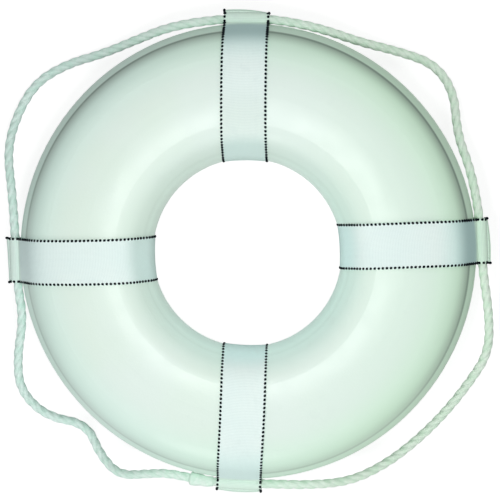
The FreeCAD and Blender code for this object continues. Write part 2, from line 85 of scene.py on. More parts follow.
# route of the grab line
ROUTE = [
    (-37.0, -258.2, 46.45), (18.9, -260.1, 46.45), (75.0, -261.7, 41.92),
    (117.7, -259.5, 26.29), (157.3, -242.3, 11.06), (190.0, -217.8, 5.30),
    (222.2, -185.8, 5.30), (249.5, -149.9, 9.42), (270.7, -112.7, 24.23),
    (269.1, -66.6, 41.92), (260.5, -13.5, 46.45), (257.3, 42.4, 46.45),
    (247.3, 93.0, 41.92), (233.2, 131.9, 26.29), (230.2, 179.8, 10.24),
    (207.6, 211.3, 5.30), (166.3, 224.8, 10.24), (124.1, 234.5, 25.05),
    (79.1, 249.4, 41.92), (27.5, 259.3, 46.45), (-28.5, 259.3, 46.45),
    (-84.7, 251.7, 41.92), (-126.4, 236.7, 26.29), (-164.6, 222.4, 12.30),
    (-204.5, 211.8, 5.30), (-240.9, 191.6, 5.30), (-261.8, 157.3, 10.24),
    (-272.2, 115.5, 25.05), (-264.4, 67.9, 41.10), (-260.1, 19.4, 46.45),
    (-258.2, -36.6, 46.45), (-252.7, -74.9, 41.92), (-261.8, -119.8, 31.22),
    (-261.6, -160.3, 18.06), (-233.0, -192.0, 8.18), (-186.4, -200.6, 5.30),
    (-171.2, -235.6, 8.18), (-148.3, -256.9, 20.11), (-116.0, -252.1, 36.16),
    (-88.0, -248.4, 46.45), (-65.6, -253.8, 46.45),
]
SPLICE_ROUTE = [(-65.6, -253.8, 46.45), (-49.0, -257.7, 46.45), (-37.0, -258.2, 46.45)]
ROPE_LAY = 38.0

scene = bpy.context.scene
scene.view_settings.view_transform = "Standard"


# Camera: above the ring, leaning a few degrees to the right and to the top
VIEW_WAY = Vector((0.0493, 0.0717, 1.0)).normalized()
VIEW_DISTANCE = 2000.0
AIM = Vector((3.2, 3.4, MID_HEIGHT))
FRAME_WIDTH = 556.8
SENSOR = 36.0

camera_data = bpy.data.cameras.new("camera")
camera_data.sensor_width = SENSOR
camera_data.lens = SENSOR * VIEW_DISTANCE / FRAME_WIDTH
camera_data.clip_end = 50.0
camera = bpy.data.objects.new("camera", camera_data)
camera.location = (AIM + VIEW_WAY * VIEW_DISTANCE) * MM
view_right = Vector((0.0, 1.0, 0.0)).cross(VIEW_WAY).normalized()
view_up = VIEW_WAY.cross(view_right)
camera.rotation_euler = Matrix((view_right, view_up, VIEW_WAY)).transposed().to_euler()
scene.collection.objects.link(camera)
scene.camera = camera


# Small helpers
def new_object(name, data):
    made = bpy.data.objects.new(name, data)
    scene.collection.objects.link(made)
    return made


def smoothstep(low, high, value):
    share = min(1.0, max(0.0, (value - low) / (high - low)))
    return share * share * (3.0 - 2.0 * share)


def mesh_object(name, points, faces, uvs=None, attributes=None):
    """A smooth mesh from points in millimetres; uvs and attributes hold one entry per point.

    What would reach below the surface that the buoy lies on is pressed flat against it.
    """
    mesh = bpy.data.meshes.new(name)
    mesh.from_pydata([(x * MM, y * MM, max(z, PRESSED) * MM) for x, y, z in points], [], faces)
    mesh.polygons.foreach_set("use_smooth", [True] * len(mesh.polygons))
    if uvs:
        layer = mesh.uv_layers.new(name="place")
        for loop in mesh.loops:
            layer.data[loop.index].uv = uvs[loop.vertex_index]
    for key, values in (attributes or {}).items():
        mesh.attributes.new(key, "FLOAT", "POINT").data.foreach_set("value", values)
    mesh.update()
    return new_object(name, mesh)


class Nodes:
    """A material's node tree, built one node at a time."""

    def __init__(self, name):
        self.material = bpy.data.materials.new(name)
        self.material.use_nodes = True
        self.tree = self.material.node_tree
        self.tree.nodes.clear()
        self.output = self.add("ShaderNodeOutputMaterial")

    def add(self, kind, inputs=None, **settings):
        node = self.tree.nodes.new(kind)
        for key, value in settings.items():
            setattr(node, key, value)
        for key, value in (inputs or {}).items():
            self.feed(node.inputs[key], value)
        return node

    def feed(self, socket, value):
        """Link a socket, or set a plain number or colour on it."""
        if isinstance(value, bpy.types.NodeSocket):
            self.tree.links.new(value, socket)
        elif isinstance(value, bpy.types.Node):
            self.tree.links.new(value.outputs[0], socket)
        elif isinstance(value, (tuple, list)) and len(value) == 3 and socket.type == "RGBA":
            socket.default_value = (*value, 1.0)
        else:
            socket.default_value = value

    def math(self, operation, first, second=None, third=None):
        values = [value for value in (first, second, third) if value is not None]
        return self.add("ShaderNodeMath", dict(enumerate(values)), operation=operation).outputs[0]

    def remap(self, value, low, high, to_low=0.0, to_high=1.0, smooth=False):
        inputs = {"Value": value, "From Min": low, "From Max": high, "To Min": to_low, "To Max": to_high}
        kind = "SMOOTHSTEP" if smooth else "LINEAR"
        return self.add("ShaderNodeMapRange", inputs, interpolation_type=kind).outputs[0]

    def length(self, first, second):
        """The length of a vector with two parts."""
        square = self.math("MULTIPLY", first, first)
        return self.math("SQRT", self.math("MULTIPLY_ADD", second, second, square))

    def noise(self, vector, scale, detail=2.0, roughness=0.5):
        inputs = {"Vector": vector, "Scale": scale, "Detail": detail, "Roughness": roughness}
        return self.add("ShaderNodeTexNoise", inputs).outputs["Fac"]

    def mix(self, factor, first, second):
        """Blend two colours."""
        node = self.add("ShaderNodeMix", data_type="RGBA")
        self.feed(node.inputs["Factor"], factor)
        for name, value in (("A", first), ("B", second)):
            socket = next(s for s in node.inputs if s.name == name and s.type == "RGBA")
            self.feed(socket, value)
        return next(s for s in node.outputs if s.type == "RGBA")

    def bump(self, height, distance, strength=1.0, normal=None):
        inputs = {"Height": height, "Distance": distance, "Strength": strength}
        if normal is not None:
            inputs["Normal"] = normal
        return self.add("ShaderNodeBump", inputs).outputs[0]

    def finish(self, inputs):
        shader = self.add("ShaderNodeBsdfPrincipled", inputs)
        self.tree.links.new(shader.outputs[0], self.output.inputs["Surface"])
        return self.material


# Materials

# Vinyl, in metres: distances from the ring's axis over which a tint or a painted shade changes
HOLE_SHADE_ZONE = (0.106, 0.140)
SHOULDER_SHADE_TINT_ZONE = (0.190, 0.242)
RIM_CREASE_SHADE_ZONE = (0.2320, 0.2450)
RIM_CREASE_SHADE_END_ZONE = (0.2456, 0.2468)
CREASE_SHADE_LINE = 0.2449

# and distances from the painted shade line, from the crease at the hole and its painted shade, and from the
# mould's seam
LINE_ZONE = (0.0004, 0.0015)
HOLE_CREASE_SHADE_ZONE = (0.0004, 0.0044)
SEAM_HALF = 0.0007


def vinyl_material():
    """Satin moulded vinyl skin over foam."""
    n = Nodes("moulded_vinyl")
    place = n.add("ShaderNodeTexCoord").outputs["Object"]
    axes = n.add("ShaderNodeSeparateXYZ", {"Vector": place}).outputs
    across = n.length(axes[0], axes[1])
    up = n.math("ABSOLUTE", n.math("SUBTRACT", axes[2], MID_HEIGHT * MM))

    clouds = n.remap(n.noise(place, 7.0, 3.0), 0.35, 0.65, smooth=True)
    colour = n.mix(clouds, (0.715, 0.845, 0.755), (0.735, 0.850, 0.790))
    # the right half a little less red and blue: painted shade toning down the light on that side
    colour = n.mix(n.remap(axes[0], 0.02, 0.20, 0.0, 1.0, True), colour, (0.700, 0.850, 0.750))
    # greener towards the rim, more so on the right: painted colour of shade on the outer shoulder
    shoulder_shade_tint = n.mix(n.remap(axes[0], -0.15, 0.15), (0.680, 0.880, 0.795), (0.640, 0.880, 0.680))
    colour = n.mix(n.remap(across, *SHOULDER_SHADE_TINT_ZONE, 0.0, 0.9, True), colour, shoulder_shade_tint)
    # towards the hole, darker to the upper left and brighter and bluer to the lower right: painted shade
    # and painted light
    upper_left = n.remap(n.math("MULTIPLY_ADD", axes[0], -0.7, axes[1]), -0.12, 0.12)
    hole_shade = n.mix(upper_left, (0.650, 0.930, 0.845), (0.545, 0.670, 0.590))
    colour = n.mix(n.remap(across, *HOLE_SHADE_ZONE, 0.6, 0.0, True), colour, hole_shade)
    speckle = n.remap(n.noise(place, 700.0, 3.0, 0.7), 0.62, 0.75, 0.0, 0.10)
    colour = n.mix(speckle, colour, (0.52, 0.62, 0.57))
    smudge = n.remap(n.noise(place, 38.0, 5.0, 0.65), 0.58, 0.78, 0.0, 0.16, True)
    colour = n.mix(smudge, colour, (0.60, 0.72, 0.66))
    # painted shade in the crease at the rim, strongest towards the upper right
    shade_side = n.remap(n.math("MULTIPLY_ADD", axes[0], 0.35, axes[1]), -0.16, 0.16, 0.34, 1.0, True)
    rim_crease_shade = n.math("POWER", n.remap(across, *RIM_CREASE_SHADE_ZONE), 1.8)
    rim_crease_shade = n.math("MULTIPLY", rim_crease_shade, n.remap(across, *RIM_CREASE_SHADE_END_ZONE, 0.72, 0.24, True))
    colour = n.mix(n.math("MULTIPLY", rim_crease_shade, shade_side), colour, (0.090, 0.150, 0.110))
    # a thin painted shade line just inside the rim's crease, strongest towards the upper right
    from_line = n.math("ABSOLUTE", n.math("SUBTRACT", across, CREASE_SHADE_LINE))
    line = n.remap(from_line, *LINE_ZONE, 0.42, 0.0, True)
    colour = n.mix(n.math("MULTIPLY", line, shade_side), colour, (0.100, 0.160, 0.130))
    # painted shade in the crease at the hole
    from_crease = n.length(n.math("SUBTRACT", across, HOLE_CREASE[0] * MM),
                           n.math("SUBTRACT", up, HOLE_CREASE[1] * MM))
    hole_crease_shade = n.remap(from_crease, *HOLE_CREASE_SHADE_ZONE, 0.08, 0.0, True)
    colour = n.mix(hole_crease_shade, colour, (0.24, 0.34, 0.27))

    swell = n.bump(n.noise(place, 24.0, 1.0), 0.0009)
    grain = n.noise(place, 420.0, 4.0, 0.62)
    skin = n.bump(grain, 0.00011, normal=swell)
    seam = n.remap(up, 0.0, SEAM_HALF, 1.0, 0.0, True)
    surface = n.bump(seam, 0.0004, normal=skin)
    gloss = n.remap(n.noise(place, 55.0, 3.0), 0.3, 0.7, 0.28, 0.36)
    return n.finish({"Base Color": colour, "Roughness": gloss, "Normal": surface,
                     "Specular IOR Level": 0.27})


# Webbing, in metres: distances from the ring's axis over which a tint or a painted shade changes
WEB_HOLE_SHADE_ZONE = (0.110, 0.129)
WEB_CROWN_ZONE = (0.150, 0.195)
WEB_SHOULDER_SHADE_ZONE = (0.205, 0.240)
WEB_RIM_SHADE_ZONE = (0.226, 0.2470)
WEB_TAB_ZONE = (0.2515, 0.2555)

# and its weave, and the strip along its edges
RIB_PITCH = 0.0026
PICK_PITCH = 0.0034
WEB_EDGE_ZONE = (0.0225, 0.0250)


def webbing_material():
    """Flat woven webbing. The mesh's own coordinates are metres across and along it."""
    n = Nodes("woven_webbing")
    place = n.add("ShaderNodeTexCoord").outputs["UV"]
    axes = n.add("ShaderNodeSeparateXYZ", {"Vector": place}).outputs
    body = n.add("ShaderNodeTexCoord").outputs["Object"]
    wander = n.math("MULTIPLY", n.math("SUBTRACT", n.noise(body, 160.0, 2.0), 0.5), 0.9)
    ribs = n.math("SINE", n.math("ADD", n.math("MULTIPLY", axes[0], math.tau / RIB_PITCH), wander))
    picks = n.math("SINE", n.math("ADD", n.math("MULTIPLY", axes[1], math.tau / PICK_PITCH), wander))
    weave = n.math("ABSOLUTE", n.math("MULTIPLY", ribs, picks))
    fibre = n.noise(body, 2600.0, 2.0, 0.6)
    cloth = n.math("ADD", n.math("POWER", weave, 0.6), n.math("MULTIPLY", fibre, 0.35))

    clouds = n.remap(n.noise(body, 16.0, 3.0), 0.35, 0.65, smooth=True)
    colour = n.mix(clouds, (0.815, 0.950, 0.920), (0.845, 0.965, 0.930))
    ways = n.add("ShaderNodeSeparateXYZ", {"Vector": body}).outputs
    out = n.length(ways[0], ways[1])
    # the top becket darker between the hole and the crown: painted shade
    upper = n.remap(ways[1], 0.08, 0.14, smooth=True)
    upper = n.math("MULTIPLY", upper, n.remap(out, *WEB_CROWN_ZONE, 1.0, 0.0, True))
    colour = n.mix(upper, colour, (0.785, 0.905, 0.850))
    # darker near the hole, most to the upper left: painted shade
    upper_left = n.remap(n.math("MULTIPLY_ADD", ways[0], -0.7, ways[1]), -0.09, 0.10)
    hole_shade = n.mix(upper_left, (0.690, 0.920, 0.885), (0.640, 0.800, 0.755))
    reach = n.math("MULTIPLY_ADD", upper_left, -0.008, out)
    colour = n.mix(n.remap(reach, *WEB_HOLE_SHADE_ZONE, 1.0, 0.0, True), colour, hole_shade)
    left_to_right = n.remap(ways[0], -0.20, 0.20)
    # more saturated green-blue over the outer shoulder, varying left to right: painted colour of shade
    shoulder = n.mix(left_to_right, (0.775, 0.940, 0.915), (0.715, 0.950, 0.890))
    colour = n.mix(n.remap(out, *WEB_SHOULDER_SHADE_ZONE, smooth=True), colour, shoulder)
    # painted shade on the webbing's steep outer side, strong to the right and top, hardly any at the bottom
    shade_side = n.remap(n.math("MULTIPLY_ADD", ways[0], 0.6, ways[1]), -0.24, 0.14, 0.0, 0.62, True)
    dark = n.math("MULTIPLY", n.remap(out, *WEB_RIM_SHADE_ZONE, smooth=True), shade_side)
    colour = n.mix(dark, colour, (0.26, 0.43, 0.43))
    tab = n.mix(left_to_right, (0.780, 0.950, 0.870), (0.740, 0.960, 0.790))
    colour = n.mix(n.remap(out, *WEB_TAB_ZONE, smooth=True), colour, tab)
    # darker between the weave's yarns: painted shade
    weave_gap_shade = n.remap(weave, 0.0, 0.35, 0.30, 0.0, True)
    colour = n.mix(weave_gap_shade, colour, (0.46, 0.60, 0.58))
    worn = n.remap(n.noise(body, 70.0, 4.0, 0.6), 0.56, 0.8, 0.0, 0.2, True)
    colour = n.mix(worn, colour, (0.60, 0.74, 0.71))
    edge = n.remap(n.math("ABSOLUTE", axes[0]), *WEB_EDGE_ZONE, 0.0, 0.25, True)
    colour = n.mix(edge, colour, (0.62, 0.76, 0.72))
    surface = n.bump(cloth, 0.00022)
    return n.finish({"Base Color": colour, "Roughness": 0.82, "Normal": surface,
                     "Specular IOR Level": 0.15, "Sheen Weight": 0.06, "Sheen Roughness": 0.4})


YARNS_ROUND = 26.0
YARN_PITCH = 0.030


def rope_material():
    """Fibre rope. The mesh's coordinates are the angle round it and the metres along it."""
    n = Nodes("laid_rope")
    place = n.add("ShaderNodeTexCoord").outputs["UV"]
    axes = n.add("ShaderNodeSeparateXYZ", {"Vector": place}).outputs
    body = n.add("ShaderNodeTexCoord").outputs["Object"]
    depth = n.add("ShaderNodeAttribute", attribute_name="depth").outputs["Fac"]
    stray = n.math("MULTIPLY", n.noise(body, 300.0, 2.0), 5.0)
    turns = n.math("MULTIPLY", axes[0], math.tau * YARNS_ROUND)
    along = n.math("MULTIPLY", axes[1], math.tau / YARN_PITCH)
    yarns = n.math("SINE", n.math("ADD", n.math("ADD", turns, along), stray))
    fibre = n.noise(body, 3200.0, 2.0, 0.6)
    relief = n.math("ADD", n.math("MULTIPLY", yarns, 0.5), n.math("MULTIPLY", fibre, 0.5))

    clouds = n.remap(n.noise(body, 110.0, 3.0, 0.65), 0.36, 0.64, smooth=True)
    ways = n.add("ShaderNodeSeparateXYZ", {"Vector": body}).outputs
    left_to_right = n.remap(ways[0], -0.20, 0.12)
    pale = n.mix(left_to_right, (0.800, 0.975, 0.915), (0.840, 0.985, 0.850))
    deep = n.mix(left_to_right, (0.690, 0.930, 0.835), (0.745, 0.955, 0.770))
    colour = n.mix(clouds, deep, pale)
    # darker in the grooves between yarns: painted shade
    dark = n.remap(yarns, -1.0, 0.1, 0.06, 0.0)
    colour = n.mix(dark, colour, (0.46, 0.66, 0.55))
    shade = n.remap(depth, 0.35, 1.0, 0.0, 0.12, True)
    colour = n.mix(shade, colour, (0.30, 0.48, 0.39))
    surface = n.bump(relief, 0.0002)
    return n.finish({"Base Color": colour, "Roughness": 0.72, "Normal": surface,
                     "Specular IOR Level": 0.2, "Sheen Weight": 0.05, "Sheen Roughness": 0.4})


def thread_material(name, colour, dark):
    """Twisted sewing or tracer thread."""
    n = Nodes(name)
    place = n.add("ShaderNodeTexCoord").outputs["Object"]
    fuzz = n.noise(place, 2400.0, 3.0, 0.7)
    shade = n.remap(fuzz, 0.4, 0.7, 0.0, 0.8)
    surface = n.bump(fuzz, 0.0002)
    return n.finish({"Base Color": n.mix(shade, colour, dark), "Roughness": 0.9, "Normal": surface,
                     "Specular IOR Level": 0.05})


VINYL = vinyl_material()
WEBBING = webbing_material()
ROPE = rope_material()
TRACER = thread_material("tracer_thread", (0.006, 0.010, 0.014), (0.002, 0.004, 0.006))
STITCH = thread_material("sewing_thread", (0.78, 0.88, 0.85), (0.50, 0.62, 0.60))


# Grab line
def spline_points(name, route, steps):
    """Points read from the smooth spline that has the route as its control points."""
    curve = bpy.data.curves.new(name, "CURVE")
    curve.dimensions = "3D"
    curve.resolution_u = steps
    spline = curve.splines.new("NURBS")
    spline.points.add(len(route) - 1)
    for point, place in zip(spline.points, route):
        point.co = (*(c * MM for c in place), 1.0)
    spline.order_u = 3
    spline.use_endpoint_u = True
    holder = new_object(name, curve)
    mesh = bpy.data.meshes.new_from_object(holder)
    points = [vertex.co / MM for vertex in mesh.vertices]
    bpy.data.objects.remove(holder)
    bpy.data.meshes.remove(mesh)
    bpy.data.curves.remove(curve)
    return points


def carried_frames(points):
    """Distance along, tangent and two normals at each point, turned as little as possible."""
    frames = []
    travelled = 0.0
    side = Vector((0.0, 0.0, 1.0))
    for number, point in enumerate(points):
        before = points[max(0, number - 1)]
        after = points[min(len(points) - 1, number + 1)]
        ahead = (after - before).normalized()
        side = (side - ahead * side.dot(ahead)).normalized()
        if number:
            travelled += (point - before).length
        frames.append((travelled, ahead, side, ahead.cross(side)))
    return frames


END_BULGE = 0.6
CLOSE_GAP = 0.02


def tube_mesh(name, points, section, sides):
    """A tube round points. section(distance, angle) gives a radius and a depth from 0 to 1."""
    frames = carried_frames(points)
    verts, faces, uvs, depths = [], [], [], []
    for point, (travelled, ahead, first, second) in zip(points, frames):
        for number in range(sides + 1):
            angle = math.tau * number / sides
            radius, depth = section(travelled, angle)
            verts.append(point + first * (radius * math.cos(angle)) + second * (radius * math.sin(angle)))
            uvs.append((number / sides, travelled * MM))
            depths.append(depth)
    row = sides + 1
    for ring in range(len(points) - 1):
        for number in range(sides):
            start = ring * row + number
            faces.append((start, start + 1, start + row + 1, start + row))
    for ring, way in ((0, -1), (len(points) - 1, 1)):
        centre = len(verts)
        verts.append(points[ring] + frames[ring][1] * (END_BULGE * way))
        uvs.append((0.5, frames[ring][0] * MM))
        depths.append(1.0)
        for number in range(sides):
            pair = (ring * row + number, ring * row + number + 1)
            faces.append((*(pair if way > 0 else pair[::-1]), centre))
    made = mesh_object(name, verts, faces, uvs, {"depth": depths})
    weld = made.modifiers.new("close", "WELD")
    weld.merge_threshold = CLOSE_GAP * MM
    return made


STRAND_OFFSET = 1.6
STRAND_RADIUS = 3.6
STRAND_GROOVE = 1.05
STRAND_TIGHT = 0.05
SLIP_TURN = 0.5
SLIP_RUN = 55.0
SWELL_SHARE = 0.015
SWELL_RUN = 16.0


def strand_reach(angle, strands, offset, radius):
    """How far the outer skin of a bundle of round strands is from its middle."""
    spread = math.tau / strands
    turn = (angle + spread / 2) % spread - spread / 2
    return offset * math.cos(turn) + math.sqrt(max(0.0, radius ** 2 - (offset * math.sin(turn)) ** 2))


def laid_section(travelled, angle):
    """Three strands twisted to the right, a little uneven along their length."""
    slip = SLIP_TURN * noise.noise(Vector((travelled / SLIP_RUN, 3.1, 0.0)))
    turned = angle - math.tau * travelled / ROPE_LAY + slip
    reach = strand_reach(turned, 3, STRAND_OFFSET, STRAND_RADIUS)
    strand = round(turned / (math.tau / 3))
    swell = noise.noise(Vector((travelled / SWELL_RUN, strand * 7.3, 1.7)))
    deep = STRAND_OFFSET + STRAND_RADIUS - reach
    return reach * (1.0 + SWELL_SHARE * swell) - STRAND_TIGHT, min(1.0, deep / STRAND_GROOVE)


LINE_STEPS = 26
LINE_SIDES = 42

line_points = spline_points("grab_line_route", ROUTE, LINE_STEPS)
grab_line = tube_mesh("grab_line_rope", line_points, laid_section, LINE_SIDES)
grab_line.data.materials.append(ROPE)


SPLICE_STEP = 2.4
SPLICE_START_RADIUS = 4.2
SPLICE_END_RADIUS = 7.6
SPLICE_NECK_RADIUS = 5.9
SPLICE_STEPS = 40
SPLICE_SIDES = 48
TUCK_RUN = 14.0
TUCK_DEPTH = 0.4
TUCK_RISE = 0.35
LUMP_RISE = 0.3


def tucked_section(travelled, angle):
    """Strands tucked over and under each other, thickest at the step where the tucks start."""
    along = travelled / splice_length
    left = splice_length - travelled
    rise = smoothstep(0.0, SPLICE_STEP, travelled) * smoothstep(0.0, SPLICE_STEP, left)
    body = SPLICE_END_RADIUS + (SPLICE_NECK_RADIUS - SPLICE_END_RADIUS) * smoothstep(0.15, 0.9, along)
    lay = math.tau * travelled / ROPE_LAY
    over = math.cos(3 * (angle - lay))
    under = math.cos(3 * (angle + 0.8 * lay) + 0.6)
    swap = math.cos(math.tau * travelled / TUCK_RUN)
    weave = min(1.0, max(over + 0.35 * swap, under - 0.35 * swap))
    lumps = LUMP_RISE * noise.noise(Vector((along * 5.0, math.cos(angle) * 1.5, math.sin(angle) * 1.5)))
    full = body - TUCK_DEPTH + TUCK_RISE * weave + lumps
    shade = max(0.0, min(1.0, 0.4 - 0.5 * weave))
    return SPLICE_START_RADIUS + (full - SPLICE_START_RADIUS) * rise, shade * rise


splice_points = spline_points("splice_route", SPLICE_ROUTE, SPLICE_STEPS)
splice_length = carried_frames(splice_points)[-1][0]
splice = tube_mesh("rope_splice_tucks", splice_points, tucked_section, SPLICE_SIDES)
splice.data.materials.append(ROPE)

for piece, node in ((grab_line, "grab_line"), (splice, "rope_splice")):
    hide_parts(node)
    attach(piece, ROOT)


# Webbing beckets
def on_circle(centre, radius, angle):
    turn = math.radians(angle)
    return Vector((centre[0] + radius * math.cos(turn), centre[1] + radius * math.sin(turn)))


def way_of(vector):
    return math.degrees(math.atan2(vector[1], vector[0]))


def shared_normal(first, first_radius, second, second_radius):
    """Angle of the outward normal of the straight line that lies on top of two circles."""
    between = Vector(second) - Vector(first)
    return way_of(between) + math.degrees(math.acos((first_radius - second_radius) / between.length))


VALLEY_ROUND = 1.2
WEB_STEP = 1.6
WEB_TURN = 9.0
NIP_STEP = 0.6
SAME_PLACE = 0.05


def web_half_section(lift, end):
    """Steps of the webbing's line from the hole to the tab, upper half: (radius, height, normal angle)."""
    crown_up = RING_HALF - CROWN_RADIUS
    bend = CROWN_RADIUS - SHOULDER_RADIUS
    shoulder_up = crown_up + math.sqrt(bend ** 2 - SHOULDER_REACH ** 2)
    crown_turn = math.degrees(math.asin(SHOULDER_REACH / bend))
    hole_crown = (LAND_MIDDLE - LAND_HALF, crown_up)
    rim_crown = (LAND_MIDDLE + LAND_HALF, crown_up)
    hole_shoulder = (hole_crown[0] - SHOULDER_REACH, shoulder_up)
    rim_shoulder = (rim_crown[0] + SHOULDER_REACH, shoulder_up)
    hole_bead = (HOLE_RADIUS + HOLE_BEAD, 0.0)
    rim_bead = (RIM_RADIUS - RIM_BEAD, 0.0)
    rope = (ROPE_LINE, 0.0)
    shoulder = SHOULDER_RADIUS + lift
    crown = CROWN_RADIUS + lift
    rope_wrap = ROPE_RADIUS + ROPE_EASE + lift - WEB_EASE
    valley_radius = VALLEY_ROUND + WEB_THICK + WEB_EASE - lift
    hole_bridge = shared_normal(hole_bead, HOLE_BEAD + lift, hole_shoulder, shoulder)
    rim_bridge = shared_normal(rim_shoulder, shoulder, rim_bead, RIM_BEAD + lift)
    from_bead = RIM_BEAD + lift + valley_radius
    from_rope = rope_wrap + valley_radius
    span = rope[0] - rim_bead[0]
    across = (from_bead ** 2 - from_rope ** 2 + span ** 2) / (2 * span)
    valley = (rim_bead[0] + across, math.sqrt(from_bead ** 2 - across ** 2))
    on_bead = way_of(Vector(valley) - Vector(rim_bead))
    on_rope = way_of(Vector(valley) - Vector(rope))
    nip = math.radians(NIP_NORMAL)
    layer = WEB_THICK / 2
    corner = Vector((rope[0] + (rope_wrap - layer * math.sin(nip)) / math.cos(nip), layer))
    downhill = Vector((math.sin(nip), -math.cos(nip)))
    cut = NIP_ROUND * math.tan(math.radians((90.0 - NIP_NORMAL) / 2))
    nip_start = corner - downhill * cut
    nip_middle = on_circle(nip_start, NIP_ROUND, NIP_NORMAL)

    steps = []

    def arc(centre, radius, start, stop, hollow=False):
        turned = abs(stop - start)
        count = max(3, int(math.radians(turned) * radius / WEB_STEP), int(turned / WEB_TURN))
        for number in range(count + 1):
            angle = start + (stop - start) * number / count
            place = on_circle(centre, radius, angle)
            steps.append((place[0], place[1], angle + (180.0 if hollow else 0.0)))

    def line(stop, normal, spacing=WEB_STEP):
        start = Vector(steps[-1][:2])
        count = max(1, int((Vector(stop) - start).length / spacing))
        for number in range(1, count + 1):
            place = start.lerp(Vector(stop), number / count)
            steps.append((place[0], place[1], normal))

    arc(hole_bead, HOLE_BEAD + lift, 180.0, hole_bridge)
    line(on_circle(hole_shoulder, shoulder, hole_bridge), hole_bridge)
    arc(hole_shoulder, shoulder, hole_bridge, 90 + crown_turn)
    arc(hole_crown, crown, 90 + crown_turn, 90.0)
    line(on_circle(rim_crown, crown, 90.0), 90.0)
    arc(rim_crown, crown, 90.0, 90 - crown_turn)
    arc(rim_shoulder, shoulder, 90 - crown_turn, rim_bridge)
    line(on_circle(rim_bead, RIM_BEAD + lift, rim_bridge), rim_bridge)
    arc(rim_bead, RIM_BEAD + lift, rim_bridge, on_bead)
    arc(valley, valley_radius, on_bead + 180, on_rope + 180, hollow=True)
    arc(rope, rope_wrap, on_rope, NIP_NORMAL)
    line(nip_start, NIP_NORMAL, NIP_STEP)
    arc(nip_middle, NIP_ROUND, NIP_NORMAL + 180, 270.0, hollow=True)
    line((end, layer), 90.0, NIP_STEP)
    kept = [steps[0]]
    for step in steps[1:]:
        if (Vector(step[:2]) - Vector(kept[-1][:2])).length > SAME_PLACE:
            kept.append(step)
    return kept


# share by which the webbing runs straight across at the hole, and the radii over which that ends
HOLE_TAUT = 0.5
HOLE_REACH = (110.0, 136.0)

# radii between which the webbing goes over to lying straight across
VALLEY_START = 250.5
LOOP_START = 255.0

# where the tab starts to differ from a plain end, how much it widens, and the step for slopes
TAB_START = 264.5
TAB_FLARE = 0.03
PROBE = 0.3


class Becket:
    """The line that the middle of a loop of webbing follows, and points on and beside it."""

    def __init__(self, shape):
        self.shape = shape
        self.bearing = math.radians(shape["bearing"])
        self.skew = math.radians(shape["skew"])
        lift = WEB_EASE + WEB_THICK / 2
        upper = web_half_section(lift, TAB_END - TAB_STAGGER)
        lower = web_half_section(lift, TAB_END)
        self.steps = []
        for radius, height, normal in reversed(upper):
            self.steps.append((radius, height, normal))
        for radius, height, normal in lower[1:]:
            self.steps.append((radius, -height, -normal))
        self.along = [0.0]
        for before, after in zip(self.steps, self.steps[1:]):
            gap = math.hypot(after[0] - before[0], after[1] - before[1])
            self.along.append(self.along[-1] + gap)
        self.length = self.along[-1]

    def place(self, step, across, depth):
        """A point beside the line: across the webbing, and out from its middle surface."""
        radius, height, normal = step
        turn = math.radians(normal)
        radius += depth * math.cos(turn)
        height += depth * math.sin(turn)
        share = across / WEB_HALF
        in_tab = smoothstep(TAB_START, TAB_END, radius)
        half_run = (ROPE_LINE - HOLE_RADIUS) / 2
        bow = max(0.0, 1.0 - ((radius - HOLE_RADIUS - half_run) / half_run) ** 2)
        aside = across * (1.0 + TAB_FLARE * in_tab) + self.shape["drift"] * bow
        cosine, sine = math.cos(self.skew), math.sin(self.skew)
        inside = radius ** 2 - aside ** 2 + 2 * aside * ROPE_LINE * sine - (ROPE_LINE * sine) ** 2
        round_ring = -ROPE_LINE * cosine + math.sqrt(inside)
        straight = radius - ROPE_LINE
        taut = HOLE_TAUT * (1.0 - smoothstep(*HOLE_REACH, radius))
        taut += smoothstep(VALLEY_START, LOOP_START, radius)
        out = round_ring + (straight - round_ring) * taut
        trimmed = self.shape["rounding"] * share ** 2 + self.shape["short"]
        out += (self.shape["slant"] * across - trimmed) * in_tab
        x = ROPE_LINE + out * cosine - aside * sine
        y = out * sine + aside * cosine
        cosine, sine = math.cos(self.bearing), math.sin(self.bearing)
        return Vector((x * cosine - y * sine, x * sine + y * cosine, MID_HEIGHT + height))

    def at(self, distance):
        """The step at a distance along the line."""
        for number in range(1, len(self.steps)):
            if self.along[number] >= distance:
                break
        share = (distance - self.along[number - 1]) / (self.along[number] - self.along[number - 1])
        before, after = self.steps[number - 1], self.steps[number]
        turn = (after[2] - before[2] + 180.0) % 360.0 - 180.0
        return (before[0] + (after[0] - before[0]) * share, before[1] + (after[1] - before[1]) * share,
                before[2] + turn * share)

    def frame(self, distance, across, depth):
        """A point, and the ways along, across and out of the webbing there."""
        here = self.place(self.at(distance), across, depth)
        ahead = self.place(self.at(min(self.length, distance + PROBE)), across, depth)
        behind = self.place(self.at(max(0.0, distance - PROBE)), across, depth)
        along = (ahead - behind).normalized()
        aside = (self.place(self.at(distance), across + PROBE, depth) - here).normalized()
        out = aside.cross(along).normalized()
        above = self.place(self.at(distance), across, depth + PROBE) - here
        if out.dot(above) < 0:
            out = -out
        return here, along, aside, out


WEB_FACE = WEB_THICK / 2 - 0.05
EDGE_ROUND = 0.8
WEB_COLUMNS = 24
EDGE_COLUMNS = 5
WAVE_SIZE = 0.22
WAVE_RUN = 38.0
RIPPLE_SIZE = 0.10
RIPPLE_RUN = (22.0, 18.0)
SEED_STEP = 11.3


def web_profile():
    """Points round the webbing's cross section: (across, depth)."""
    flat = WEB_HALF - EDGE_ROUND
    profile = []
    for face in (1, -1):
        for number in range(WEB_COLUMNS + 1):
            profile.append((face * flat * (2 * number / WEB_COLUMNS - 1), face * WEB_FACE))
        for number in range(1, EDGE_COLUMNS):
            angle = math.pi / 2 - math.pi * number / EDGE_COLUMNS
            profile.append((face * (flat + EDGE_ROUND * math.cos(angle)),
                            face * WEB_FACE * math.sin(angle)))
    return profile


